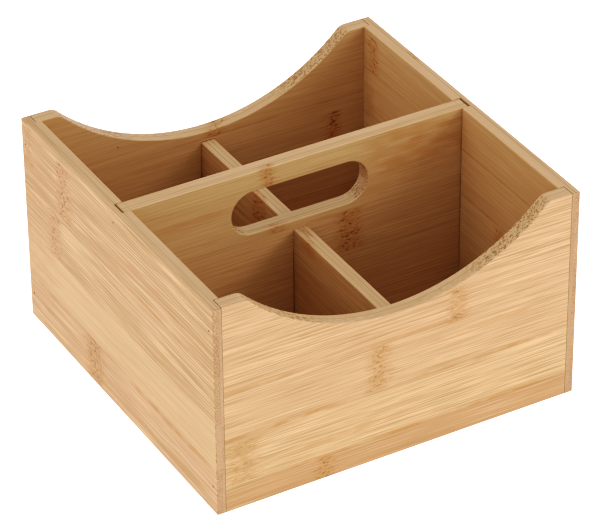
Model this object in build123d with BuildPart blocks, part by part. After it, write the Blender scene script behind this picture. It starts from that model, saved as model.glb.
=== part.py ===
from build123d import *
import os

# Coffee station organizer: an open bamboo box with four compartments. A tall
# divider with a hand slot crosses it from side to side and serves as its handle.
# Millimetres. +X runs to the right along the front, +Y to the back and +Z up.
# The origin is the middle of the footprint, on the surface that the box stands on.

# Overall size
width = 240
depth = 237
height = 140

# Board thicknesses
side_thickness = 9
panel_thickness = 9.4
handle_thickness = 10
cross_thickness = 9
base_thickness = 5

# Scoop in the top of the front and back panels
scoop_depth = 41.6
scoop_radius = 138
scoop_shoulder_radius = 8

# Hand slot in the handle divider, and the wood above it that the hand grips
slot_length = 91.5
slot_height = 28.3
slot_rim_radius = 1
grip_height = 13.5

# The cross dividers stop this far below the slot, so that fingers pass over them
finger_clearance = 6.5

# Joints. Each side keeps a lip of end grain outside the front and back panels.
lip_thickness = 5.5
handle_housing_depth = 5.6
cross_housing_depth = 2
base_height = 5

# Clearances in the joints
panel_end_gap = 0.2
handle_end_gap = 1.3
cross_end_gap = 0.3
housing_clearance = 0.2
base_edge_gap = 0.5
groove_clearance = 0.15

# Eased edges
arris_radius = 0.7
housing_mouth_radius = 0.5

# Pin nails through the sides into the ends of the boards between them
pin_diameter = 1.3
pin_length = 25
pin_point_length = 1.5
pin_set = 0.3
pin_bore_clearance = 0.05
low_pin_height = 17.5
panel_pin_drop = 16
handle_pin_drop = 8.5

# Cuts run past the wood by this much
overrun = 1

# Places worked out from the sizes above
side_inner = width / 2 - side_thickness
panel_inner = depth / 2 - panel_thickness
panel_middle = depth / 2 - panel_thickness / 2
panel_length = width - 2 * (lip_thickness + panel_end_gap)
rabbet_depth = side_thickness - lip_thickness
base_groove_depth = rabbet_depth
base_groove_height = base_thickness + groove_clearance
base_top = base_height + base_thickness
handle_length = 2 * (side_inner + handle_housing_depth - handle_end_gap)
slot_bottom = height - grip_height - slot_height
slot_middle = slot_bottom + slot_height / 2
cross_top = slot_bottom - finger_clearance
cross_front = panel_inner + cross_housing_depth - cross_end_gap
cross_back = handle_thickness / 2 - cross_housing_depth + cross_end_gap
cross_housing_width = cross_thickness + 2 * housing_clearance
pin_radius = pin_diameter / 2
pin_bore_radius = pin_radius + pin_bore_clearance
pin_bore_depth = pin_set + pin_length + pin_bore_clearance

# Rows of pin nails: the row's place from front to back, and the heights in it
panel_pin_heights = (low_pin_height, height - panel_pin_drop)
front_row = (-panel_middle, panel_pin_heights)
handle_row = (0, (height - handle_pin_drop,))
back_row = (panel_middle, panel_pin_heights)
pin_rows = {"front_pins": front_row, "handle_pin": handle_row, "back_pins": back_row}

os.makedirs("parts", exist_ok=True)


# Where the pins of one row enter a side, -1 for the left side and 1 for the right
def pin_places(side, row):
    place, pin_heights = row
    return [
        Location(Plane(origin=(side * width / 2, place, pin_height), z_dir=(side, 0, 0)))
        for pin_height in pin_heights
    ]


# Left side: a board with a rabbet at each end for the front and back panels
with BuildPart() as left_side:
    with BuildSketch(Plane.YZ.offset(-width / 2)):
        Rectangle(depth, height, align=(Align.CENTER, Align.MIN))
    extrude(amount=side_thickness)
    fillet(left_side.edges(), radius=arris_radius)

    with BuildSketch(Plane.YZ.offset(-width / 2 + lip_thickness)):
        rabbet_width = panel_thickness + overrun
        rabbet_middle = panel_inner + rabbet_width / 2
        with Locations((-rabbet_middle, height / 2), (rabbet_middle, height / 2)):
            Rectangle(rabbet_width, height + 2 * overrun)
    extrude(amount=side_thickness, mode=Mode.SUBTRACT)

    # Housing for the end of the handle divider, open at the top and eased at its mouth
    with BuildSketch(Plane.YZ.offset(-side_inner - handle_housing_depth)):
        with Locations((0, base_height)):
            Rectangle(
                handle_thickness + 2 * housing_clearance,
                height - base_height + overrun,
                align=(Align.CENTER, Align.MIN),
            )
    extrude(amount=side_thickness, mode=Mode.SUBTRACT)
    inner_uprights = left_side.edges().filter_by(Axis.Z).group_by(Axis.X)[-1]
    housing_mouth = inner_uprights.sort_by(lambda edge: abs(edge.center().Y))[:2]
    fillet(housing_mouth, radius=housing_mouth_radius)

    # Groove for the base, from rabbet to rabbet
    with BuildSketch(Plane.YZ.offset(-side_inner - base_groove_depth)):
        with Locations((0, base_height)):
            Rectangle(
                2 * (panel_inner + overrun),
                base_groove_height,
                align=(Align.CENTER, Align.MIN),
            )
    extrude(amount=side_thickness, mode=Mode.SUBTRACT)

    for row in pin_rows.values():
        with Locations(*pin_places(-1, row)):
            Hole(pin_bore_radius, depth=pin_bore_depth)

left_side.part.label = "left_side"
export_step(left_side.part, "parts/left_side.step")

# Right side: the mirror image of the left
with BuildPart() as right_side:
    mirror(left_side.part, about=Plane.YZ)

right_side.part.label = "right_side"
export_step(right_side.part, "parts/right_side.step")

# Front panel: a scooped board whose ends lie in the rabbets of the sides
with BuildPart() as front_panel:
    with BuildSketch(Plane.XZ.offset(depth / 2)) as scooped_outline:
        Rectangle(panel_length, height, align=(Align.CENTER, Align.MIN))
        with Locations((0, height - scoop_depth + scoop_radius)):
            Circle(scoop_radius, mode=Mode.SUBTRACT)
        top_corners = scooped_outline.vertices().group_by(Axis.Y)[-1]
        shoulders = top_corners.sort_by(lambda corner: abs(corner.X))[:2]
        fillet(shoulders, radius=scoop_shoulder_radius)
    extrude(amount=-panel_thickness)

    front_face = front_panel.faces().sort_by(Axis.Y)[0]
    back_face = front_panel.faces().sort_by(Axis.Y)[-1]
    front_rim = front_face.edges().filter_by(Axis.Z, reverse=True)
    back_rim = back_face.edges().filter_by(Axis.Z, reverse=True).sort_by(Axis.Z)[1:]
    fillet(front_rim + back_rim, radius=arris_radius)

    # Groove for the base, along the whole panel
    with BuildSketch(Plane.XZ.offset(panel_inner + base_groove_depth)):
        with Locations((0, base_height)):
            Rectangle(
                panel_length + 2 * overrun,
                base_groove_height,
                align=(Align.CENTER, Align.MIN),
            )
    extrude(amount=-panel_thickness, mode=Mode.SUBTRACT)

    # Shallow housing for the end of the cross divider, up to its top
    with BuildSketch(Plane.XZ.offset(panel_inner + cross_housing_depth)):
        with Locations((0, base_height)):
            Rectangle(
                cross_housing_width,
                cross_top + housing_clearance - base_height,
                align=(Align.CENTER, Align.MIN),
            )
    extrude(amount=-panel_thickness, mode=Mode.SUBTRACT)

    for side in (-1, 1):
        with Locations(*pin_places(side, front_row)):
            Hole(pin_bore_radius, depth=pin_bore_depth)

front_panel.part.label = "front_panel"
export_step(front_panel.part, "parts/front_panel.step")

# Back panel: the mirror image of the front
with BuildPart() as back_panel:
    mirror(front_panel.part, about=Plane.XZ)

back_panel.part.label = "back_panel"
export_step(back_panel.part, "parts/back_panel.step")

# Handle divider: a board that stands on the base between the sides, with a hand slot
with BuildPart() as handle_divider:
    with BuildSketch(Plane.XZ.offset(handle_thickness / 2)):
        with Locations((0, base_top)):
            Rectangle(
                handle_length,
                height - base_top,
                align=(Align.CENTER, Align.MIN),
            )
        with Locations((0, slot_middle)):
            SlotOverall(slot_length, slot_height, mode=Mode.SUBTRACT)
    extrude(amount=-handle_thickness)

    top_rim = handle_divider.faces().sort_by(Axis.Z)[-1].edges()
    fillet(top_rim, radius=arris_radius)
    broad_faces = handle_divider.faces().sort_by(Axis.Y)
    slot_rims = broad_faces[0].inner_wires() + broad_faces[-1].inner_wires()
    fillet(slot_rims.edges(), radius=slot_rim_radius)

    # Shallow housings for the cross dividers, one in each broad face
    for face_side in (-1, 1):
        housing_floor = handle_thickness / 2 - cross_housing_depth
        with BuildSketch(Plane.XZ.offset(-face_side * housing_floor)):
            with Locations((0, base_top - overrun)):
                Rectangle(
                    cross_housing_width,
                    cross_top + housing_clearance - base_top + overrun,
                    align=(Align.CENTER, Align.MIN),
                )
        extrude(amount=-face_side * (cross_housing_depth + overrun), mode=Mode.SUBTRACT)

    for side in (-1, 1):
        with Locations(*pin_places(side, handle_row)):
            Hole(pin_bore_radius, depth=pin_bore_depth)

handle_divider.part.label = "handle_divider"
export_step(handle_divider.part, "parts/handle_divider.step")

# Front cross divider: a short board from the front panel to the handle divider
with BuildPart() as front_cross_divider:
    with BuildSketch(Plane.YZ.offset(-cross_thickness / 2)):
        with Locations((-cross_front, base_top)):
            Rectangle(
                cross_front - cross_back,
                cross_top - base_top,
                align=(Align.MIN, Align.MIN),
            )
    extrude(amount=cross_thickness)
    cross_top_face = front_cross_divider.faces().sort_by(Axis.Z)[-1]
    fillet(cross_top_face.edges().filter_by(Axis.Y), radius=arris_radius)

front_cross_divider.part.label = "front_cross_divider"
export_step(front_cross_divider.part, "parts/front_cross_divider.step")

# Back cross divider: the mirror image of the front one
with BuildPart() as back_cross_divider:
    mirror(front_cross_divider.part, about=Plane.XZ)

back_cross_divider.part.label = "back_cross_divider"
export_step(back_cross_divider.part, "parts/back_cross_divider.step")

# Base panel: a thin board held in the grooves of all four walls
with BuildPart() as base_panel:
    with BuildSketch(Plane.XY.offset(base_height)):
        base_reach = base_groove_depth - base_edge_gap
        Rectangle(2 * (side_inner + base_reach), 2 * (panel_inner + base_reach))
    extrude(amount=base_thickness)

base_panel.part.label = "base_panel"
export_step(base_panel.part, "parts/base_panel.step")

# Pin nails: one group of pointed pins for each row, set just below the wood. The
# handle divider has a single pin, near its top.
for side_name, side in (("left", -1), ("right", 1)):
    for row_name, row in pin_rows.items():
        with BuildPart() as pins:
            with Locations(*pin_places(side, row)):
                with Locations((0, 0, -pin_set)):
                    shank_length = pin_length - pin_point_length
                    top_aligned = (Align.CENTER, Align.CENTER, Align.MAX)
                    Cylinder(pin_radius, shank_length, align=top_aligned)
                with Locations((0, 0, -pin_set - shank_length)):
                    Cone(0, pin_radius, pin_point_length, align=top_aligned)

        pins.part.label = f"{side_name}_{row_name}"
        export_step(pins.part, f"parts/{pins.part.label}.step")
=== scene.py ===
import math

import bpy
from mathutils import Matrix, Vector


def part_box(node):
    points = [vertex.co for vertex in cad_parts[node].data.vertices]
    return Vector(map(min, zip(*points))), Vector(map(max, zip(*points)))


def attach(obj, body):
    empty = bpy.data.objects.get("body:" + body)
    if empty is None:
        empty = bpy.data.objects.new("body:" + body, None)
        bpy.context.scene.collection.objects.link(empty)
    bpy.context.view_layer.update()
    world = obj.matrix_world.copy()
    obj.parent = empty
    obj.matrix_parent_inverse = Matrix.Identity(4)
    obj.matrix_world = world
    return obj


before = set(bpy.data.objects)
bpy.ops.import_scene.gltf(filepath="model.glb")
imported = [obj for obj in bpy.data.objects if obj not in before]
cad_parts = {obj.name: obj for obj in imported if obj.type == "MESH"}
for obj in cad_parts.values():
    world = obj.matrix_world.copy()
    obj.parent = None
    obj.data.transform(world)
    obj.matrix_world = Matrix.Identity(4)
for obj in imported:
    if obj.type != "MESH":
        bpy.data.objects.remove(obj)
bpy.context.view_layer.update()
print("frame: loaded", len(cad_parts), "nodes")

# Coffee station organizer in laminated bamboo. The boards keep their CAD shapes. This script
# sets up the camera, the stage and the light, then gives the boards their grain, plies, growth
# nodes and end grain. Lengths in the dictionaries are in mm, and so are those in the materials.
metresPerMm = 0.001
mmPerMetre = 1000


# An sRGB hex colour as linear red, green, blue and alpha
def hexToLinear(hexColour):
    channels = [int(hexColour[start : start + 2], 16) / 255 for start in (1, 3, 5)]
    linear = [c / 12.92 if c <= 0.04045 else ((c + 0.055) / 1.055) ** 2.4 for c in channels]
    return (*linear, 1)


# Adds a node with its settings. An input is a number, a colour, a vector, or the socket that
# feeds it.
def addNode(tree, kind, inputs=None, **settings):
    node = tree.nodes.new(kind)
    for setting, value in settings.items():
        setattr(node, setting, value)
    for socket, value in (inputs or {}).items():
        if isinstance(value, bpy.types.NodeSocket):
            tree.links.new(value, node.inputs[socket])
        else:
            node.inputs[socket].default_value = value
    return node


# Gives a CAD object its material
def dress(nodeName, material):
    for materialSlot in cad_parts[nodeName].material_slots:
        materialSlot.link = "OBJECT"
        materialSlot.material = material


# Camera at the photograph's angle, far off with a long lens
cameraView = {
    "lens": 212.305,
    "sensorWidth": 36,
    "azimuth": -29.5203,  # degrees, 0 looks along +Y
    "elevation": 33.4186,  # degrees above the floor
    "roll": 0.5566,  # degrees, clockwise as the camera looks
    "aim": (2.17, 0, 61.34),
    "distance": 2105.14,
}


def addCamera(view):
    azimuth = math.radians(view["azimuth"])
    elevation = math.radians(view["elevation"])
    forward = Vector(
        (
            -math.sin(azimuth) * math.cos(elevation),
            math.cos(azimuth) * math.cos(elevation),
            -math.sin(elevation),
        )
    )
    right = Vector((math.cos(azimuth), math.sin(azimuth), 0))
    upward = right.cross(forward)
    turn = Matrix((right, upward, -forward)).transposed()
    turn = turn @ Matrix.Rotation(-math.radians(view["roll"]), 3, "Z")
    lensData = bpy.data.cameras.new("productCamera")
    lensData.lens = view["lens"]
    lensData.sensor_width = view["sensorWidth"]
    camera = bpy.data.objects.new("productCamera", lensData)
    place = Vector(view["aim"]) - forward * view["distance"]
    camera.matrix_world = Matrix.Translation(place * metresPerMm) @ turn.to_4x4()
    bpy.context.scene.collection.objects.link(camera)
    bpy.context.scene.camera = camera


addCamera(cameraView)
print("camera: placed")

# White studio tent: even light all round, over a white floor that also glows a little, so
# that it stays plain white under and around the box. A white backdrop stands round the floor
# for low views. Only the camera sees the backdrop: it neither lights the box nor shades it.
studio = {
    "tentLight": 0.765,
    "floorRadius": 9000,
    "floorDrop": 0.2,  # below the box, so that the two don't touch
    "floorSides": 96,
    "backdropHeight": 6000,
    "floorPaint": "#E6E6E6",
    "floorRoughness": 0.9,
    "floorGlow": 0.75,
    "softboxSize": (1400, 1000),
    "softboxDistance": 2400,
    # Where each softbox hangs, seen from the box, and its watts
    "softboxes": (
        ((0.985, 0, 0.174), 17.5),
        ((0.641, -0.641, 0.423), 17.6),
        ((-0.906, 0, 0.423), 14.8),
        ((0.035, 0, 0.999), 14.2),
    ),
    # Linear light in and out: deeper shadows and a soft shoulder, as a camera's picture has
    "toneCurve": (
        (0.03, 0.0145),
        (0.08, 0.0585),
        (0.15, 0.141),
        (0.27, 0.297),
        (0.47, 0.495),
        (0.75, 0.76),
    ),
    "pixelFilter": 1.3,
}


def lightTent(studio):
    world = bpy.data.worlds.new("studioTent")
    world.use_nodes = True
    background = world.node_tree.nodes["Background"]
    background.inputs["Color"].default_value = (1, 1, 1, 1)
    background.inputs["Strength"].default_value = studio["tentLight"]
    bpy.context.scene.world = world


# Matte white paint: an even white with no shine
def layFloor(studio):
    sides = studio["floorSides"]
    radius = studio["floorRadius"] * metresPerMm
    drop = -studio["floorDrop"] * metresPerMm
    angles = [2 * math.pi * number / sides for number in range(sides)]
    rim = [(radius * math.cos(angle), radius * math.sin(angle), drop) for angle in angles]
    mesh = bpy.data.meshes.new("studioFloor")
    mesh.from_pydata(rim, [], [range(sides)])
    floor = bpy.data.objects.new("studioFloor", mesh)
    bpy.context.scene.collection.objects.link(floor)
    paint = bpy.data.materials.new("matteWhitePaint")
    paint.use_nodes = True
    shader = paint.node_tree.nodes["Principled BSDF"]
    shader.inputs["Base Color"].default_value = hexToLinear(studio["floorPaint"])
    shader.inputs["Roughness"].default_value = studio["floorRoughness"]
    shader.inputs["Specular IOR Level"].default_value = 0
    shader.inputs["Emission Color"].default_value = (1, 1, 1, 1)
    shader.inputs["Emission Strength"].default_value = studio["floorGlow"]
    mesh.materials.append(paint)

    # The backdrop rises from the rim of the floor, in the same paint
    top = [(x, y, studio["backdropHeight"] * metresPerMm) for x, y, z in rim]
    quads = [(n, (n + 1) % sides, (n + 1) % sides + sides, n + sides) for n in range(sides)]
    wallMesh = bpy.data.meshes.new("studioBackdrop")
    wallMesh.from_pydata(rim + top, [], quads)
    wallMesh.materials.append(paint)
    backdrop = bpy.data.objects.new("studioBackdrop", wallMesh)
    bpy.context.scene.collection.objects.link(backdrop)
    backdrop.visible_diffuse = False
    backdrop.visible_glossy = False
    backdrop.visible_transmission = False
    backdrop.visible_shadow = False


def hangSoftboxes(studio):
    for direction, watts in studio["softboxes"]:
        lightData = bpy.data.lights.new("softbox", "AREA")
        lightData.shape = "RECTANGLE"
        lightData.size, lightData.size_y = (side * metresPerMm for side in studio["softboxSize"])
        lightData.energy = watts
        light = bpy.data.objects.new("softbox", lightData)
        toward = Vector(direction).normalized()
        light.location = toward * studio["softboxDistance"] * metresPerMm
        light.rotation_euler = toward.to_track_quat("Z", "Y").to_euler()
        bpy.context.scene.collection.objects.link(light)


def setToneCurve(studio):
    viewSettings = bpy.context.scene.view_settings
    viewSettings.view_transform = "Standard"
    viewSettings.use_curve_mapping = True
    mapping = viewSettings.curve_mapping
    allChannels = mapping.curves[3]
    for lightIn, lightOut in studio["toneCurve"]:
        allChannels.points.new(lightIn, lightOut)
    mapping.update()


# Keeps the thin fibre lines crisp: a narrow pixel filter, and no blur of what guides denoising
def sharpenPicture(studio):
    cycles = bpy.context.scene.cycles
    cycles.filter_width = studio["pixelFilter"]
    cycles.denoising_prefilter = "NONE"


lightTent(studio)
layFloor(studio)
hangSoftboxes(studio)
setToneCurve(studio)
sharpenPicture(studio)
print("stage: tent, floor, backdrop and four softboxes")

# Laminated bamboo, cut from flat strips, glued in plies, sanded and given a thin satin lacquer.
# The eye sees long fine fibres, strips of slightly different tone with a speckled growth node
# here and there, stripes of plies on the edges and dots of cut fibre bundles on end grain.
bamboo = {
    "pale": "#C7A374",
    "warm": "#AD7D51",
    "greenish": "#F8FFE8",
    "sunlit": "#DDBB8A",
    "fibre": "#8A5D31",
    "streak": "#AC713B",
    "growthNode": "#743B15",
    # dark glue lines between strips and plies, also used for painted shade at joints and gaps
    # between boards
    "glueLineAndShade": "#54331A",
    "endGrain": "#EDEBF6",
    "edge": "#F1F2FD",
    "edgeTone": 0.42,  # every strip's tone on the edges of the plies
    "edgeCalm": 0.4,  # the contrast lost there
    "streakPull": 0.3,  # how far fine streaks, from end to end, pull the tone
    "broadPull": 0.4,  # and broad ones
    "nodeWarmth": 0.64,
    "slantLimits": (0.95, 0.6),  # facings from a straight cut of the fibres to a slanting one
    "straightDots": 0.06,  # how much of the dots a straight cut shows
    # paler eased edges: wear, and a painted highlight along the arrises
    "wearAndHighlight": 0.35,
    "roughness": 0.52,
    "fibreRoughness": 0.2,
    "wornRoughness": 0.3,
    "gloss": 0.3,
    "ior": 1.5,
    "bumpDepth": 0.06,
}

# Sizes of the pattern in mm, each as along the fibres, across them and through the board.
# Real bundles are 0.3 to 0.5 mm thick: they are drawn about twice as coarse, to show.
grain = {
    "wander": (220, 50, 50),
    "wanderReach": (0, 3, 0.3),
    "swirl": (9, 6, 6),
    "swirlReach": (3, 5, 5),
    "line": (50, 0.75, 0.75),
    "dash": (18, 0.8, 0.8),
    "bundle": (1e6, 1.05, 1.05),
    "streak": (60, 2, 2),
    "broad": (120, 7, 7),
    "curl": (7, 3, 3),
    "speck": (2.4, 1.6, 1.6),
    "seedShift": (900, 0, 60),
}

# Marks in the wood: where in its pattern a mark starts, where it is full, and its strength there
marks = {
    "paleLine": (0.49, 0.32, 0.45),
    "darkLine": (0.51, 0.7, 0.5),
    "openPore": (0.6, 0.76, 0.25),
    "curledLine": (0.07, 0.01, 0.5),
    "darkSpeck": (0.62, 0.7, 0.7),
    "paleSpeck": (0.42, 0.3, 0.15),
    "bundleDot": (0.5, 0.34, 1),
    "specked": (0.4, 0.82, 1),
    "dotted": (0.08, 0.2, 1),
}


def buildBambooGroup(bamboo, grain, marks):
    group = bpy.data.node_groups.new("laminatedBamboo", "ShaderNodeTree")
    wanted = (
        ("Grain", "INPUT", "NodeSocketVector"),
        ("Facing", "INPUT", "NodeSocketVector"),
        ("Strip", "INPUT", "NodeSocketColor"),
        ("Contrast", "INPUT", "NodeSocketFloat"),
        ("Growth Node", "INPUT", "NodeSocketFloat"),
        ("Streak And Shade", "INPUT", "NodeSocketFloat"),
        ("Glue Line And Shade", "INPUT", "NodeSocketFloat"),
        ("Color", "OUTPUT", "NodeSocketColor"),
        ("Roughness", "OUTPUT", "NodeSocketFloat"),
        ("Height", "OUTPUT", "NodeSocketFloat"),
    )
    for name, direction, kind in wanted:
        group.interface.new_socket(name=name, in_out=direction, socket_type=kind)
    given = addNode(group, "NodeGroupInput").outputs
    nodeShare = given["Growth Node"]
    strip = addNode(group, "ShaderNodeSeparateColor", {"Color": given["Strip"]})
    tone, tint, seed = strip.outputs
    facing = addNode(group, "ShaderNodeSeparateXYZ", {"Vector": given["Facing"]})
    endShare, edgeShare, broadShare = facing.outputs

    # Each strip is cut from another cane, so its pattern comes from another place
    shifted = addNode(
        group,
        "ShaderNodeVectorMath",
        {0: seed, 1: grain["seedShift"], 2: given["Grain"]},
        operation="MULTIPLY_ADD",
    ).outputs[0]

    # A pattern at a place, with cells of the size that the dictionary gives. Cut bundles are
    # round cells, and all the others are smooth noise.
    def patternAt(place, name, detail=0):
        inverse = [1 / size for size in grain[name]]
        scaled = addNode(
            group, "ShaderNodeVectorMath", {0: place, 1: inverse}, operation="MULTIPLY"
        )
        kind = "ShaderNodeTexVoronoi" if name == "bundle" else "ShaderNodeTexNoise"
        inputs = {"Vector": scaled.outputs[0], "Scale": 1, "Detail": detail}
        return addNode(group, kind, inputs).outputs

    # Moves a place by noise, at most half of reach either way
    def shiftBy(place, name, reach):
        noise = patternAt(shifted, name, 1)["Color"]
        centred = addNode(
            group, "ShaderNodeVectorMath", {0: noise, 1: (0.5, 0.5, 0.5)}, operation="SUBTRACT"
        )
        moved = addNode(
            group,
            "ShaderNodeVectorMath",
            {0: centred.outputs[0], 1: reach, 2: place},
            operation="MULTIPLY_ADD",
        )
        return moved.outputs[0]

    # The fibres wander a little, and swirl where they pass through a growth node
    wandered = shiftBy(shifted, "wander", grain["wanderReach"])
    reach = addNode(
        group,
        "ShaderNodeVectorMath",
        {0: grain["swirlReach"], "Scale": nodeShare},
        operation="SCALE",
    )
    swirled = shiftBy(wandered, "swirl", reach.outputs[0])
    line = patternAt(swirled, "line", 1)["Fac"]
    dash = patternAt(swirled, "dash")["Fac"]
    streak = patternAt(swirled, "streak", 1)["Fac"]
    broad = patternAt(swirled, "broad")["Fac"]
    curl = patternAt(wandered, "curl", 1)["Fac"]
    speck = patternAt(wandered, "speck")["Fac"]
    bundle = patternAt(swirled, "bundle")["Distance"]

    # How much of a mark shows where the pattern has this value, times a weight
    def markShare(name, pattern, weight):
        start, full, strength = marks[name]
        inside = addNode(
            group,
            "ShaderNodeMapRange",
            {"Value": pattern, "From Min": start, "From Max": full, "To Max": strength},
            interpolation_type="SMOOTHSTEP",
        )
        weighed = addNode(
            group, "ShaderNodeMath", {0: inside.outputs[0], 1: weight}, operation="MULTIPLY"
        )
        return weighed.outputs[0]

    # Edges of plies show less contrast, and the same tone for every strip
    calm = addNode(
        group,
        "ShaderNodeMath",
        {0: edgeShare, 1: -bamboo["edgeCalm"], 2: 1},
        operation="MULTIPLY_ADD",
    )
    contrast = addNode(
        group, "ShaderNodeMath", {0: given["Contrast"], 1: calm.outputs[0]}, operation="MULTIPLY"
    ).outputs[0]
    toneHere = addNode(group, "ShaderNodeMix", {0: edgeShare, 2: tone, 3: bamboo["edgeTone"]})

    # Tone of the wood between pale and warm, which fine and broad streaks pull either way
    centring = -(bamboo["streakPull"] + bamboo["broadPull"]) / 2
    pull = addNode(
        group,
        "ShaderNodeMath",
        {0: streak, 1: bamboo["streakPull"], 2: centring},
        operation="MULTIPLY_ADD",
    )
    pull = addNode(
        group,
        "ShaderNodeMath",
        {0: broad, 1: bamboo["broadPull"], 2: pull.outputs[0]},
        operation="MULTIPLY_ADD",
    )
    warmth = addNode(
        group,
        "ShaderNodeMath",
        {0: pull.outputs[0], 1: contrast, 2: toneHere.outputs[0]},
        operation="MULTIPLY_ADD",
    )
    faceTint = addNode(group, "ShaderNodeMath", {0: tint, 1: broadShare}, operation="MULTIPLY")

    # A growth node is a warm patch. Its curled lines are where the curl noise is near its middle.
    patch = addNode(
        group, "ShaderNodeMath", {0: nodeShare, 1: bamboo["nodeWarmth"]}, operation="MULTIPLY"
    )
    offMiddle = addNode(group, "ShaderNodeMath", {0: curl, 1: 0.5}, operation="SUBTRACT")
    offMiddle = addNode(group, "ShaderNodeMath", {0: offMiddle.outputs[0]}, operation="ABSOLUTE")
    specked = markShare("specked", nodeShare, 1)

    # Bundles cut straight across show faint dots, and those cut at a slant show dark ones
    straight, slant = bamboo["slantLimits"]
    slanting = addNode(
        group,
        "ShaderNodeMapRange",
        {
            "Value": endShare,
            "From Min": straight,
            "From Max": slant,
            "To Min": bamboo["straightDots"],
        },
        interpolation_type="SMOOTHSTEP",
    )
    dots = markShare("bundleDot", bundle, markShare("dotted", endShare, slanting.outputs[0]))

    # Wear and painted highlight: the lacquer is thin on the eased edges beside the broad faces, and
    # the wood there is painted paler, which also stands in for the light that the rounded arrises
    # catch
    offBroad = addNode(group, "ShaderNodeMath", {0: 1, 1: broadShare}, operation="SUBTRACT")
    arris = addNode(
        group, "ShaderNodeMath", {0: broadShare, 1: offBroad.outputs[0]}, operation="MULTIPLY"
    ).outputs[0]
    wornAndHighlit = addNode(group, "ShaderNodeMath", {0: arris, 1: bamboo["wearAndHighlight"]}, operation="MULTIPLY")

    # Colours laid one over another. Cut ends and the edges of plies are greyer than the faces.
    # A Mix node's sockets 0, 6 and 7 are its factor and its two colours.
    layers = (
        (warmth.outputs[0], "warm", "MIX"),
        (faceTint.outputs[0], "greenish", "MULTIPLY"),
        (markShare("paleLine", line, contrast), "sunlit", "MIX"),
        (markShare("darkLine", line, contrast), "fibre", "MIX"),
        (markShare("openPore", dash, contrast), "fibre", "MIX"),
        (given["Streak And Shade"], "streak", "MIX"),
        (patch.outputs[0], "streak", "MIX"),
        (markShare("curledLine", offMiddle.outputs[0], nodeShare), "fibre", "MIX"),
        (markShare("darkSpeck", speck, specked), "growthNode", "MIX"),
        (markShare("paleSpeck", speck, specked), "sunlit", "MIX"),
        (endShare, "endGrain", "MULTIPLY"),
        (edgeShare, "edge", "MULTIPLY"),
        (dots, "fibre", "MIX"),
        # eased edges painted paler: wear and a painted highlight
        (wornAndHighlit.outputs[0], "sunlit", "MIX"),
        # glue lines, with painted shade where boards meet
        (given["Glue Line And Shade"], "glueLineAndShade", "MIX"),
    )
    wood = hexToLinear(bamboo["pale"])
    for amount, colour, blend in layers:
        wood = addNode(
            group,
            "ShaderNodeMix",
            {0: amount, 6: wood, 7: hexToLinear(bamboo[colour])},
            data_type="RGBA",
            blend_type=blend,
        ).outputs[2]

    # Dark fibres are rougher and stand a little proud, and cut bundles sink in. Worn edges are
    # rougher too.
    spread = bamboo["fibreRoughness"]
    rough = addNode(
        group,
        "ShaderNodeMath",
        {0: line, 1: spread, 2: bamboo["roughness"] - spread / 2},
        operation="MULTIPLY_ADD",
    )
    rough = addNode(
        group,
        "ShaderNodeMath",
        {0: arris, 1: bamboo["wornRoughness"], 2: rough.outputs[0]},
        operation="MULTIPLY_ADD",
    )
    height = addNode(group, "ShaderNodeMath", {0: line, 1: dots}, operation="SUBTRACT")
    addNode(
        group,
        "NodeGroupOutput",
        {"Color": wood, "Roughness": rough.outputs[0], "Height": height.outputs[0]},
    )
    return group


bambooGroup = buildBambooGroup(bamboo, grain, marks)
axisNumbers = {"X": 0, "Y": 1, "Z": 2}

# How the figure of a board is drawn. A cell is the length and width of the noise that makes an
# outline uneven, a shift is how far that noise moves the outline from end to end, and a core is
# the share of a spot's length and width that is at full strength.
figure = {
    "margin": 1,  # how far the strips run past the board, so that none ends on its edge
    "nodeCell": (50, 1.4),
    "nodeShift": 18,
    "nodeCore": (0.1, 0.9),
    "streakCell": (25, 40),
    "streakShift": 1.6,
    "streakCore": (0.5, 0.4),
    "patchCell": (14, 4),
    "patchLimits": (0.36, 0.6),
    "patchLeast": 0.25,
    "seamHalfWidth": 0.5,
    "seamStrength": 0.35,
    "jointCore": (0.4, 0.4),
    "plyLine": (400, 0.45, 0.4),  # half length, half width and strength
    "plyLineCore": (0.9, 0.2),
    "plyLineFade": 1,  # the share that fades on end grain
    "edgeLineFade": 0.88,
}


# Profiles across the board: the tone, tint and seed of each strip as a colour, its contrast,
# and the thin glue lines between the strips
def stripRamps(tree, across, low, high, strips):
    place = addNode(
        tree, "ShaderNodeMapRange", {"Value": across, "From Min": low, "From Max": high}
    ).outputs["Result"]
    colours = addNode(tree, "ShaderNodeValToRGB", {"Fac": place})
    colours.color_ramp.interpolation = "CONSTANT"
    seams = addNode(tree, "ShaderNodeValToRGB", {"Fac": place})
    for ramp in (colours.color_ramp, seams.color_ramp):
        ramp.elements.remove(ramp.elements[-1])
    seams.color_ramp.elements[0].color = (0, 0, 0, 1)
    halfWidth = figure["seamHalfWidth"]
    profile = ((-halfWidth, 0), (0, figure["seamStrength"]), (halfWidth, 0))
    for number, (start, tone, tint, seed, contrast) in enumerate(strips):
        stops = colours.color_ramp.elements
        stop = stops[0] if number == 0 else stops.new((start - low) / (high - low))
        stop.color = (tone, tint, seed, contrast)
        if number:
            for offset, strength in profile:
                seam = seams.color_ramp.elements.new((start + offset - low) / (high - low))
                seam.color = (strength, strength, strength, 1)
    return colours.outputs["Color"], colours.outputs["Alpha"], seams.outputs["Color"]


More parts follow.
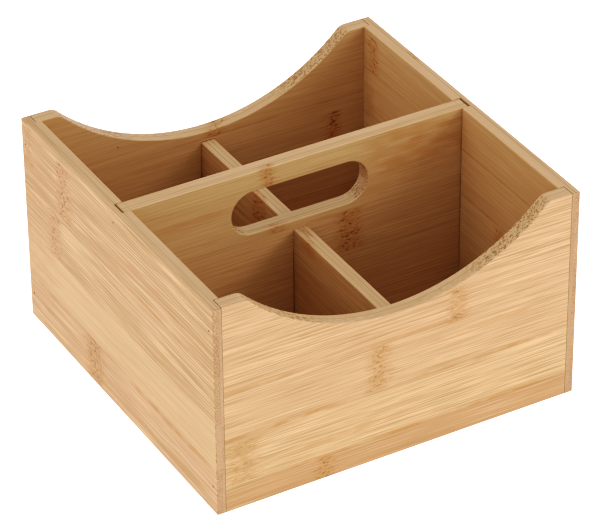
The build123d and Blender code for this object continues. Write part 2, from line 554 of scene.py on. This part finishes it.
# How much a point lies in any of the spots, from 0 to each spot's strength. A spot is its
# place along and across the board, its half length and half width, and its strength.
def spotShare(tree, along, across, spots, core):
    point = addNode(tree, "ShaderNodeCombineXYZ", {"X": along, "Y": across}).outputs[0]
    total = 0.0
    for placeAlong, placeAcross, halfLength, halfWidth, strength in spots:
        scaled = addNode(
            tree,
            "ShaderNodeVectorMath",
            {
                0: point,
                1: (1 / halfLength, 1 / halfWidth, 0),
                2: (-placeAlong / halfLength, -placeAcross / halfWidth, 0),
            },
            operation="MULTIPLY_ADD",
        )
        away = addNode(tree, "ShaderNodeVectorMath", {0: scaled.outputs[0]}, operation="ABSOLUTE")
        parts = addNode(tree, "ShaderNodeSeparateXYZ", {"Vector": away.outputs[0]})
        here = strength
        for axis, full in zip("XY", core):
            inside = addNode(
                tree,
                "ShaderNodeMapRange",
                {"Value": parts.outputs[axis], "From Min": 1, "From Max": full, "To Max": here},
                interpolation_type="SMOOTHSTEP",
            )
            here = inside.outputs["Result"]
        larger = addNode(tree, "ShaderNodeMath", {0: here, 1: total}, operation="MAXIMUM")
        total = larger.outputs[0]
    return total


# What shows at a point: the last ply whose border the point is past
def mixPlies(tree, plies, through, borders):
    shown = plies[0]
    for ply, border in zip(plies[1:], borders):
        past = addNode(
            tree, "ShaderNodeMath", {0: through, 1: border}, operation="GREATER_THAN"
        ).outputs[0]
        strip = addNode(
            tree, "ShaderNodeMix", {0: past, 6: shown["Strip"], 7: ply["Strip"]}, data_type="RGBA"
        )
        mixed = {"Strip": strip.outputs[2]}
        for name in ("Contrast", "Growth Node", "Streak And Shade", "Glue Line And Shade"):
            mixed[name] = addNode(
                tree, "ShaderNodeMix", {0: past, 2: shown[name], 3: ply[name]}
            ).outputs[0]
        shown = mixed
    return shown


# One material for each board, because each has its own strips
def finishBoard(nodeName, board):
    material = bpy.data.materials.new("lacqueredBamboo_" + nodeName)
    material.use_nodes = True
    tree = material.node_tree
    shader = tree.nodes["Principled BSDF"]
    low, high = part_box(nodeName)
    acrossAxis = axisNumbers[board["axes"][1]]
    acrossLow = low[acrossAxis] * mmPerMetre - figure["margin"]
    acrossHigh = high[acrossAxis] * mmPerMetre + figure["margin"]

    # The place in mm and how much the surface faces each way, in the order along the fibres,
    # across them and through the board
    source = addNode(tree, "ShaderNodeTexCoord")
    inMm = addNode(
        tree,
        "ShaderNodeVectorMath",
        {0: source.outputs["Object"], "Scale": mmPerMetre},
        operation="SCALE",
    )
    squared = addNode(
        tree,
        "ShaderNodeVectorMath",
        {0: source.outputs["Normal"], 1: source.outputs["Normal"]},
        operation="MULTIPLY",
    )
    placeParts = addNode(tree, "ShaderNodeSeparateXYZ", {"Vector": inMm.outputs[0]})
    facingParts = addNode(tree, "ShaderNodeSeparateXYZ", {"Vector": squared.outputs[0]})
    along, across, through = (placeParts.outputs[axis] for axis in board["axes"])
    place = addNode(tree, "ShaderNodeCombineXYZ", {"X": along, "Y": across, "Z": through})
    facing = addNode(
        tree,
        "ShaderNodeCombineXYZ",
        {name: facingParts.outputs[axis] for name, axis in zip("XYZ", board["axes"])},
    )

    # Noise for the outlines of growth nodes and streaks, and for how strong seams show
    def unevenness(cell):
        cellLength, cellWidth = cell
        inverse = (1 / cellLength, 1 / cellWidth, 1 / cellWidth)
        scaled = addNode(
            tree, "ShaderNodeVectorMath", {0: place.outputs[0], 1: inverse}, operation="MULTIPLY"
        )
        inputs = {"Vector": scaled.outputs[0], "Scale": 1, "Detail": 2}
        return addNode(tree, "ShaderNodeTexNoise", inputs).outputs["Fac"]

    # A place changed by noise, by at most half of reach either way
    def jitter(value, noise, reach):
        centred = addNode(
            tree, "ShaderNodeMath", {0: noise, 1: reach, 2: -reach / 2}, operation="MULTIPLY_ADD"
        )
        moved = addNode(tree, "ShaderNodeMath", {0: value, 1: centred.outputs[0]}, operation="ADD")
        return moved.outputs[0]

    jagged = jitter(along, unevenness(figure["nodeCell"]), figure["nodeShift"])
    crooked = jitter(across, unevenness(figure["streakCell"]), figure["streakShift"])
    patchStart, patchFull = figure["patchLimits"]
    patchy = addNode(
        tree,
        "ShaderNodeMapRange",
        {
            "Value": unevenness(figure["patchCell"]),
            "From Min": patchStart,
            "From Max": patchFull,
            "To Min": figure["patchLeast"],
        },
    ).outputs["Result"]

    plies = []
    for ply in board["plies"]:
        strip, contrast, seam = stripRamps(tree, across, acrossLow, acrossHigh, ply["strips"])
        seam = addNode(tree, "ShaderNodeMath", {0: seam, 1: patchy}, operation="MULTIPLY")
        # Joints: glue lines darkened with painted shade in the corners and gaps where this board
        # meets others, and a few flecks
        joint = spotShare(tree, along, across, ply["joints"], figure["jointCore"])
        glueLineAndShade = addNode(
            tree, "ShaderNodeMath", {0: seam.outputs[0], 1: joint}, operation="MAXIMUM"
        )
        streak = spotShare(tree, along, crooked, ply["streaksAndShade"], figure["streakCore"])
        streak = addNode(tree, "ShaderNodeMath", {0: streak, 1: patchy}, operation="MULTIPLY")
        growthNode = spotShare(tree, jagged, across, ply["growthNodes"], figure["nodeCore"])
        plies.append(
            {
                "Strip": strip,
                "Contrast": contrast,
                "Growth Node": growthNode,
                "Streak And Shade": streak.outputs[0],
                "Glue Line And Shade": glueLineAndShade.outputs[0],
            }
        )
    shown = mixPlies(tree, plies, through, board["plyBorders"])

    # Lines between the plies and along the edges fade on end grain. The edge lines beside the lips
    # are glue seams darkened with painted shade from the gaps there.
    endShare = facingParts.outputs[board["axes"][0]]
    plyLines = [(0, border, *figure["plyLine"]) for border in board["plyBorders"]]
    fades = (figure["plyLineFade"], figure["edgeLineFade"])
    for lines, fade in zip((plyLines, board["edgeLines"]), fades):
        lineShare = spotShare(tree, along, through, lines, figure["plyLineCore"])
        left = addNode(
            tree, "ShaderNodeMath", {0: endShare, 1: -fade, 2: 1}, operation="MULTIPLY_ADD"
        )
        faded = addNode(
            tree, "ShaderNodeMath", {0: lineShare, 1: left.outputs[0]}, operation="MULTIPLY"
        )
        shown["Glue Line And Shade"] = addNode(
            tree,
            "ShaderNodeMath",
            {0: shown["Glue Line And Shade"], 1: faded.outputs[0]},
            operation="MAXIMUM",
        ).outputs[0]

    shown["Grain"] = place.outputs[0]
    shown["Facing"] = facing.outputs[0]
    wood = addNode(tree, "ShaderNodeGroup", shown, node_tree=bambooGroup)
    relief = {"Distance": bamboo["bumpDepth"] * metresPerMm, "Height": wood.outputs["Height"]}
    bump = addNode(tree, "ShaderNodeBump", {"Strength": 1, **relief})
    tree.links.new(wood.outputs["Color"], shader.inputs["Base Color"])
    tree.links.new(wood.outputs["Roughness"], shader.inputs["Roughness"])
    tree.links.new(bump.outputs["Normal"], shader.inputs["Normal"])
    shader.inputs["IOR"].default_value = bamboo["ior"]
    shader.inputs["Specular IOR Level"].default_value = bamboo["gloss"]
    dress(nodeName, material)


# The boards. A strip is its lowest place across the board, its tone from 0 pale to 1 warm, its
# greenish tint, seed and contrast. Growth nodes, streaks and joints are spots, as spotShare takes
# them. Joints are the dark lines where boards meet: glue lines with painted shade in the corners
# and gaps between the parts, and a few dark flecks. Edge lines are spots too, by their place
# through the board instead of across it.
leftSide = {
    "axes": ("Y", "Z", "X"),
    "plyBorders": (-116.1,),
    "edgeLines": ((-114, -114.6, 5, 0.5, 0.7), (114, -114.6, 5, 0.5, 0.7)),
    "plies": (
        {
            "strips": (
                (0, 0.62, 0.2, 0.13, 0.9),
                (17.5, 0.6, 0.15, 0.5, 0.8),
                (31, 0.4, 0.5, 0.87, 0.35),
                (62.5, 0.68, 0.6, 0.24, 1),
                (95.5, 0.84, 0.6, 0.61, 1),
            ),
            "growthNodes": (
                (65, 116, 14, 20, 0.86),
                (79, 79, 13, 17, 0.75),
                (33, 15, 18, 17, 0.8),
                (112, 125, 9, 16, 0.5),
            ),
            "streaksAndShade": (
                (-45, 96.5, 100, 1.6, 0.7),
                (-60, 29, 66, 2.4, 0.9),
                (60, 30.5, 80, 0.9, 0.6),
                (-50, 113, 90, 2.6, 0.5),
                (-40, 72, 60, 3, 0.4),
                (-60, 9, 70, 2.5, 0.4),
                # The last spot is no fine streak: it darkens and warms the whole face towards the
                # back
                (128, 60, 60, 90, 0.28),
            ),
            "joints": (),
        },
        {
            "strips": (
                (0, 0.4, 0, 0.33, 0.5),
                (28, 0.6, 0, 0.71, 0.5),
                (60, 0.35, 0, 0.05, 0.5),
                (92, 0.5, 0, 0.48, 0.5),
                (124, 0.6, 0, 0.92, 0.5),
            ),
            "growthNodes": ((-60, 76, 10, 15, 0.8), (20, 108, 9, 15, 0.8), (80, 44, 11, 15, 0.8)),
            "streaksAndShade": ((40, 62, 70, 1.8, 0.6), (-50, 94, 60, 1.8, 0.6)),
            "joints": ((-5.3, 75, 0.4, 80, 0.3), (5.3, 75, 0.4, 80, 0.3)),
        },
    ),
}
finishBoard("left_side", leftSide)

rightSide = {
    "axes": ("Y", "Z", "X"),
    "plyBorders": (117,),
    "edgeLines": ((-114, 114.6, 5, 0.5, 0.7), (114, 114.6, 5, 0.5, 0.7)),
    "plies": (
        {
            "strips": (
                (0, 0.6, 0, 0.29, 0.4),
                (16, 0.58, 0, 0.67, 0.4),
                (48, 0.56, 0, 0.02, 0.4),
                (80, 0.68, 0, 0.83, 0.32),
                (112, 0.7, 0, 0.38, 0.32),
            ),
            "growthNodes": ((98, 124, 8, 13, 0.8), (101, 90, 7, 12, 0.4), (-50, 64, 9, 15, 0.8)),
            "streaksAndShade": ((-50, 81, 60, 1.6, 0.5), (-40, 112, 70, 1.2, 0.4)),
            "joints": ((-5.3, 75, 0.4, 80, 0.3), (5.3, 75, 0.4, 80, 0.3)),
        },
        {
            "strips": (
                (0, 0.8, 0, 0.19, 0.9),
                (24, 0.6, 0.3, 0.58, 0.9),
                (56, 0.8, 0, 0.94, 0.9),
                (88, 0.6, 0.4, 0.43, 0.9),
                (120, 0.75, 0, 0.76, 0.9),
            ),
            "growthNodes": ((-70, 104, 12, 15, 0.9), (10, 40, 11, 15, 0.9), (64, 132, 10, 12, 0.8)),
            "streaksAndShade": ((30, 57, 80, 2, 0.7), (-40, 90, 70, 1.8, 0.6), (40, 122, 60, 1.6, 0.6)),
            "joints": (),
        },
    ),
}
finishBoard("right_side", rightSide)

frontPanel = {
    "axes": ("X", "Z", "Y"),
    "plyBorders": (-113.5,),
    "edgeLines": (),
    "plies": (
        {
            "strips": (
                (0, 0.8, 0, 0.41, 0.6),
                (15, 0.25, 0.3, 0.09, 0.9),
                (47.5, 0.38, 0.1, 0.66, 0.75),
                (80, 0.42, 0, 0.28, 0.9),
                (112, 0.35, 0, 0.8, 0.9),
            ),
            "growthNodes": (
                (38, 90, 10, 12, 0.66),
                (-14, 64, 11, 16, 0.66),
                (-103, 32, 17, 15, 0.55),
                (-49.5, 7, 9, 8, 0.8),
            ),
            "streaksAndShade": (
                (-40, 81.2, 110, 1.5, 0.6),
                (-80, 49.5, 60, 2.2, 0.9),
                (50, 48.6, 80, 1.6, 0.7),
                (10, 16, 130, 1.6, 0.7),
                (-30, 27, 50, 3.5, 0.4),
                (60, 70, 60, 3, 0.3),
            ),
            "joints": (),
        },
        {
            "strips": (
                (0, 0.5, 0, 0.52, 0.5),
                (30, 0.4, 0, 0.15, 0.5),
                (62, 0.55, 0, 0.97, 0.5),
                (94, 0.4, 0, 0.34, 0.5),
            ),
            "growthNodes": ((-70, 78, 10, 15, 0.8), (52, 46, 10, 15, 0.8)),
            "streaksAndShade": ((-30, 63, 80, 1.8, 0.6),),
            "joints": (
                (-114.3, 70, 0.6, 80, 0.7),
                (114.3, 70, 0.6, 80, 0.7),
                (-4.9, 46, 0.4, 46, 0.6),
                (4.9, 46, 0.4, 46, 0.6),
            ),
        },
    ),
}
finishBoard("front_panel", frontPanel)

backPanel = {
    "axes": ("X", "Z", "Y"),
    "plyBorders": (113.7,),
    "edgeLines": (),
    "plies": (
        {
            "strips": (
                (0, 0.65, 0, 0.22, 0.35),
                (30, 0.55, 0, 0.6, 0.35),
                (62, 0.6, 0, 0.01, 0.35),
                (94, 0.58, 0, 0.46, 0.35),
            ),
            "growthNodes": ((3.5, 99, 9, 6, 0.7), (88.5, 76, 8, 10, 0.85)),
            "streaksAndShade": ((40, 95, 60, 1.2, 0.4), (-50, 84, 50, 2, 0.3)),
            "joints": (
                (-114.3, 70, 0.6, 80, 0.7),
                (114.3, 70, 0.6, 80, 0.7),
                (-4.9, 46, 0.5, 46, 0.8),
                (4.9, 46, 0.4, 46, 0.6),
                (0, 92, 5, 0.4, 0.8),
                (-61.5, 106, 0.7, 0.7, 0.8),
            ),
        },
        {
            "strips": (
                (0, 0.4, 0, 0.73, 1),
                (20, 0.5, 0, 0.36, 1),
                (52, 0.35, 0.4, 0.88, 1),
                (84, 0.5, 0, 0.11, 1),
                (116, 0.4, 0, 0.55, 1),
            ),
            "growthNodes": ((-40, 68, 11, 15, 0.9), (70, 36, 12, 15, 0.9), (10, 92, 10, 8, 0.9)),
            "streaksAndShade": (
                (-30, 53.5, 90, 1.8, 0.7),
                (30, 21.5, 80, 2, 0.7),
                (50, 85.5, 60, 1.6, 0.6),
            ),
            "joints": ((-114.3, 70, 0.6, 80, 0.7), (114.3, 70, 0.6, 80, 0.7)),
        },
    ),
}
finishBoard("back_panel", backPanel)

handleDivider = {
    "axes": ("X", "Z", "Y"),
    "plyBorders": (-1.5,),
    "edgeLines": ((0, -3.4, 130, 0.4, 0.2),),
    "plies": (
        {
            "strips": (
                (10, 0.58, 0, 0.64, 0.5),
                (30, 0.58, 0, 0.27, 0.5),
                (62, 0.57, 0, 0.91, 0.5),
                (94, 0.42, 0, 0.17, 0.4),
                (129, 0.38, 0, 0.7, 0.4),
            ),
            "growthNodes": ((-22, 134, 8, 7, 0.8), (-16, 97, 9, 4, 0.6), (34, 79, 13, 15, 0.9)),
            # The broad third spot, at the upper right end beside the right side wall, is painted
            # shade; the other two are streaks in the wood
            "streaksAndShade": ((-70, 119, 60, 3, 0.35), (70, 103, 50, 4, 0.3), (90, 124, 60, 22, 0.55)),
            "joints": (
                (-110.8, 75, 0.5, 80, 0.4),
                (110.8, 75, 0.5, 80, 0.3),
                (-4.9, 46, 0.5, 46, 0.7),
                (4.9, 46, 0.3, 46, 0.4),
            ),
        },
        {
            "strips": (
                (10, 0.5, 0, 0.08, 0.7),
                (46, 0.35, 0, 0.45, 0.7),
                (78, 0.25, 0, 0.85, 0.7),
                (110, 0.38, 0.4, 0.31, 0.7),
            ),
            "growthNodes": ((-80, 62, 11, 15, 0.9), (66, 125, 10, 15, 0.9), (10, 94, 9, 4, 0.8)),
            "streaksAndShade": ((-40, 79.5, 60, 1.8, 0.6), (60, 111.5, 50, 1.6, 0.5)),
            "joints": (
                (-110.8, 75, 0.5, 80, 0.7),
                (110.8, 75, 0.5, 80, 0.7),
                (-4.9, 46, 0.4, 46, 0.6),
                (4.9, 46, 0.4, 46, 0.6),
            ),
        },
    ),
}
finishBoard("handle_divider", handleDivider)

frontCrossDivider = {
    "axes": ("Y", "Z", "X"),
    "plyBorders": (-1.5, 1.6),
    "edgeLines": (),
    "plies": (
        {
            "strips": ((10, 0.45, 0, 0.53, 0.6), (36, 0.45, 0, 0.2, 0.6), (68, 0.5, 0, 0.77, 0.6)),
            "growthNodes": ((-80, 52, 10, 15, 0.8), (-22, 88, 12, 5, 0.6)),
            "streaksAndShade": (),
            "joints": (),
        },
        {
            "strips": ((10, 0.3, 0.3, 0.03, 0.6),),
            "growthNodes": ((-12, 90, 8, 6, 0.8),),
            "streaksAndShade": (),
            "joints": (),
        },
        {
            "strips": ((10, 0.5, 0, 0.39, 0.6), (30, 0.4, 0, 0.96, 0.6), (62, 0.5, 0, 0.62, 0.6)),
            "growthNodes": ((-50, 46, 10, 15, 0.8),),
            "streaksAndShade": (),
            "joints": (),
        },
    ),
}
finishBoard("front_cross_divider", frontCrossDivider)

backCrossDivider = {
    "axes": ("Y", "Z", "X"),
    "plyBorders": (-1.4, 1.7),
    "edgeLines": (),
    "plies": (
        {
            "strips": (
                (10, 0.58, 0, 0.84, 0.6),
                (36, 0.58, 0, 0.42, 0.6),
                (68, 0.68, 0, 0.06, 0.6),
            ),
            "growthNodes": ((38, 78, 13, 16, 1),),
            "streaksAndShade": (),
            "joints": (),
        },
        {
            "strips": ((10, 0.35, 0.2, 0.57, 0.6),),
            "growthNodes": (),
            "streaksAndShade": (),
            "joints": (),
        },
        {
            "strips": ((10, 0.5, 0, 0.25, 0.6), (40, 0.4, 0, 0.68, 0.6), (72, 0.5, 0, 0.9, 0.6)),
            "growthNodes": ((70, 56, 10, 15, 0.8),),
            "streaksAndShade": (),
            "joints": (),
        },
    ),
}
finishBoard("back_cross_divider", backCrossDivider)

basePanel = {
    "axes": ("Y", "X", "Z"),
    "plyBorders": (7.5,),
    "edgeLines": (),
    "plies": (
        {
            "strips": (
                (-114, 0.5, 0, 0.14, 0.5),
                (-80, 0.4, 0.3, 0.81, 0.5),
                (-40, 0.6, 0, 0.35, 0.5),
                (0, 0.4, 0, 0.99, 0.5),
                (40, 0.5, 0, 0.49, 0.5),
                (80, 0.4, 0.3, 0.26, 0.5),
            ),
            "growthNodes": ((-60, -20, 11, 18, 0.7), (30, 60, 11, 18, 0.7), (70, -60, 11, 18, 0.7)),
            "streaksAndShade": ((20, -38, 80, 2, 0.6), (-20, 42, 70, 2, 0.6)),
            "joints": (),
        },
        {
            "strips": (
                (-114, 0.4, 0, 0.65, 1),
                (-92, 0.5, 0, 0.3, 1),
                (-60, 0.35, 0.3, 0.74, 1),
                (-28, 0.5, 0, 0.1, 1),
                (4, 0.4, 0, 0.56, 1),
                (36, 0.55, 0, 0.89, 1),
                (68, 0.4, 0, 0.21, 1),
            ),
            "growthNodes": (
                (40, -44, 11, 15, 0.7),
                (-50, 20, 11, 15, 0.7),
                (80, 84, 11, 15, 0.7),
                (-70, -76, 11, 15, 0.7),
            ),
            "streaksAndShade": ((-30, -58, 80, 2, 0.6), (40, 38, 70, 2, 0.6)),
            "joints": (),
        },
    ),
}
finishBoard("base_panel", basePanel)
print("boards: eight finished in bamboo")

# Hardened glue fills the gaps at the ends of the front and back panels, nearly flush, so that
# these seams show as fine lines in the colour of the wood and not as dark slits
glueBead = {
    "dark": "#AC713B",
    "light": "#B98F62",
    "mottle": 3,  # size of a cloudy patch in the glue
    "roughness": 0.4,
    "gapInner": 114.3,  # the end of a panel, from the middle of the box
    "gapOuter": 114.5,  # the lip beside it
    "reach": 118.2,  # just inside the panel's face, from the middle of the box
    "depth": 8,
    "low": 0.8,
    "high": 139.2,
}


def makeGlue(glueBead):
    glue = bpy.data.materials.new("hardenedWoodGlue")
    glue.use_nodes = True
    tree = glue.node_tree
    shader = tree.nodes["Principled BSDF"]
    source = addNode(tree, "ShaderNodeTexCoord")
    mottle = addNode(
        tree,
        "ShaderNodeTexNoise",
        {"Vector": source.outputs["Object"], "Scale": mmPerMetre / glueBead["mottle"]},
    )
    ends = {6: hexToLinear(glueBead["dark"]), 7: hexToLinear(glueBead["light"])}
    colour = addNode(tree, "ShaderNodeMix", {0: mottle.outputs["Fac"], **ends}, data_type="RGBA")
    tree.links.new(colour.outputs[2], shader.inputs["Base Color"])
    shader.inputs["Roughness"].default_value = glueBead["roughness"]
    return glue


def fillPanelGaps(glueBead):
    glue = makeGlue(glueBead)
    gap = (glueBead["gapInner"], glueBead["gapOuter"])
    depths = (glueBead["reach"] - glueBead["depth"], glueBead["reach"])
    heights = (glueBead["low"], glueBead["high"])
    faces = ((0, 1, 3, 2), (4, 6, 7, 5), (0, 4, 5, 1), (2, 3, 7, 6), (0, 2, 6, 4), (1, 5, 7, 3))
    for yName, ySide in (("Front", -1), ("Back", 1)):
        for xName, xSide in (("left", -1), ("right", 1)):
            xs = sorted(xSide * x for x in gap)
            ys = sorted(ySide * y for y in depths)
            corners = [Vector((x, y, z)) * metresPerMm for x in xs for y in ys for z in heights]
            name = xName + yName + "GlueBead"
            mesh = bpy.data.meshes.new(name)
            mesh.from_pydata(corners, [], faces)
            mesh.materials.append(glue)
            bead = bpy.data.objects.new(name, mesh)
            bpy.context.scene.collection.objects.link(bead)
            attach(bead, "root")


fillPanelGaps(glueBead)
print("glue: four panel gaps filled")

# Pin nails of drawn steel wire, darkened by their coating: small dark dots in the sides
pinSteel = {
    "dull": "#3A281B",
    "bright": "#6A4C33",
    "spotSize": 0.5,
    "roughness": 0.5,
    "spotRoughness": 0.2,
}


def finishPins(pinSteel):
    material = bpy.data.materials.new("coatedPinSteel")
    material.use_nodes = True
    tree = material.node_tree
    shader = tree.nodes["Principled BSDF"]
    source = addNode(tree, "ShaderNodeTexCoord")
    spots = addNode(
        tree,
        "ShaderNodeTexNoise",
        {"Vector": source.outputs["Object"], "Scale": mmPerMetre / pinSteel["spotSize"]},
    )
    ends = {6: hexToLinear(pinSteel["dull"]), 7: hexToLinear(pinSteel["bright"])}
    tint = addNode(tree, "ShaderNodeMix", {0: spots.outputs["Fac"], **ends}, data_type="RGBA")
    spread = pinSteel["spotRoughness"]
    rough = addNode(
        tree,
        "ShaderNodeMath",
        {0: spots.outputs["Fac"], 1: spread, 2: pinSteel["roughness"] - spread / 2},
        operation="MULTIPLY_ADD",
    )
    tree.links.new(tint.outputs[2], shader.inputs["Base Color"])
    tree.links.new(rough.outputs[0], shader.inputs["Roughness"])
    shader.inputs["Metallic"].default_value = 1
    for side in ("left", "right"):
        for row in ("front_pins", "handle_pin", "back_pins"):
            dress(side + "_" + row, material)


finishPins(pinSteel)
print("pins: six rows finished")

bpy.context.view_layer.update()
